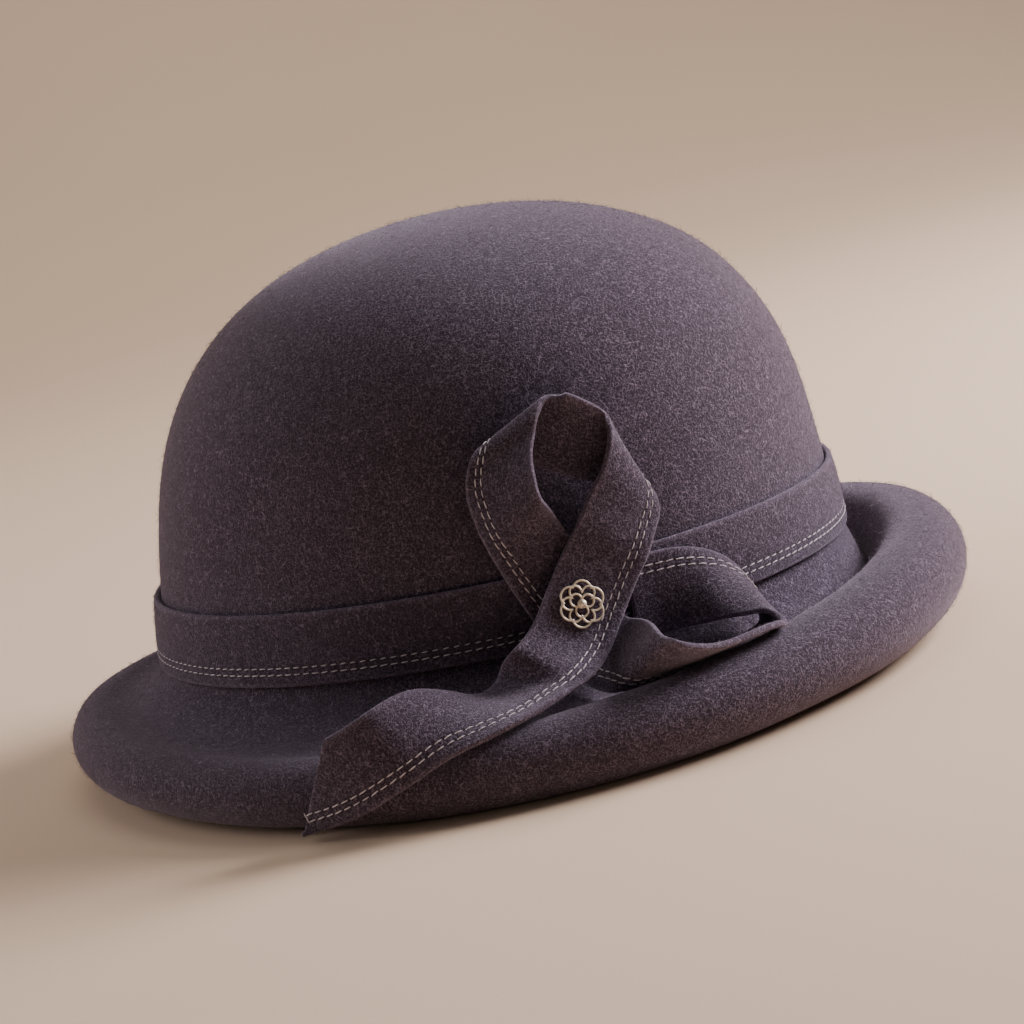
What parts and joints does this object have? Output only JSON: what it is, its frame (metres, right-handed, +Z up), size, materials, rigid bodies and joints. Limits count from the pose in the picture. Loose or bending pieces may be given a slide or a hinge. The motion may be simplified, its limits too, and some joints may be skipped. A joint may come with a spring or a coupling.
{
  "type": "cloche hat",
  "caption": "Felt cloche hat with a domed crown, a rolled brim, a felt band and a looped felt strip with a metal pin.",
  "frame": {"origin": "on the resting surface, below the middle of the whole hat", "axes": "+X to the front of the hat, +Y to the wearer's left, +Z up; the bow is at -Y"},
  "size_m": [0.2674, 0.2426, 0.1405],
  "materials": {
    "body_felt": "matt wool felt",
    "trim_felt": "matt wool felt",
    "pin_metal": "polished pale gold plating"
  },
  "bodies": {
    "root": {"felt_body": "body_felt", "band": "trim_felt", "bow_ribbon": "trim_felt", "rose_pin": "pin_metal"}
  },
  "joints": []
}
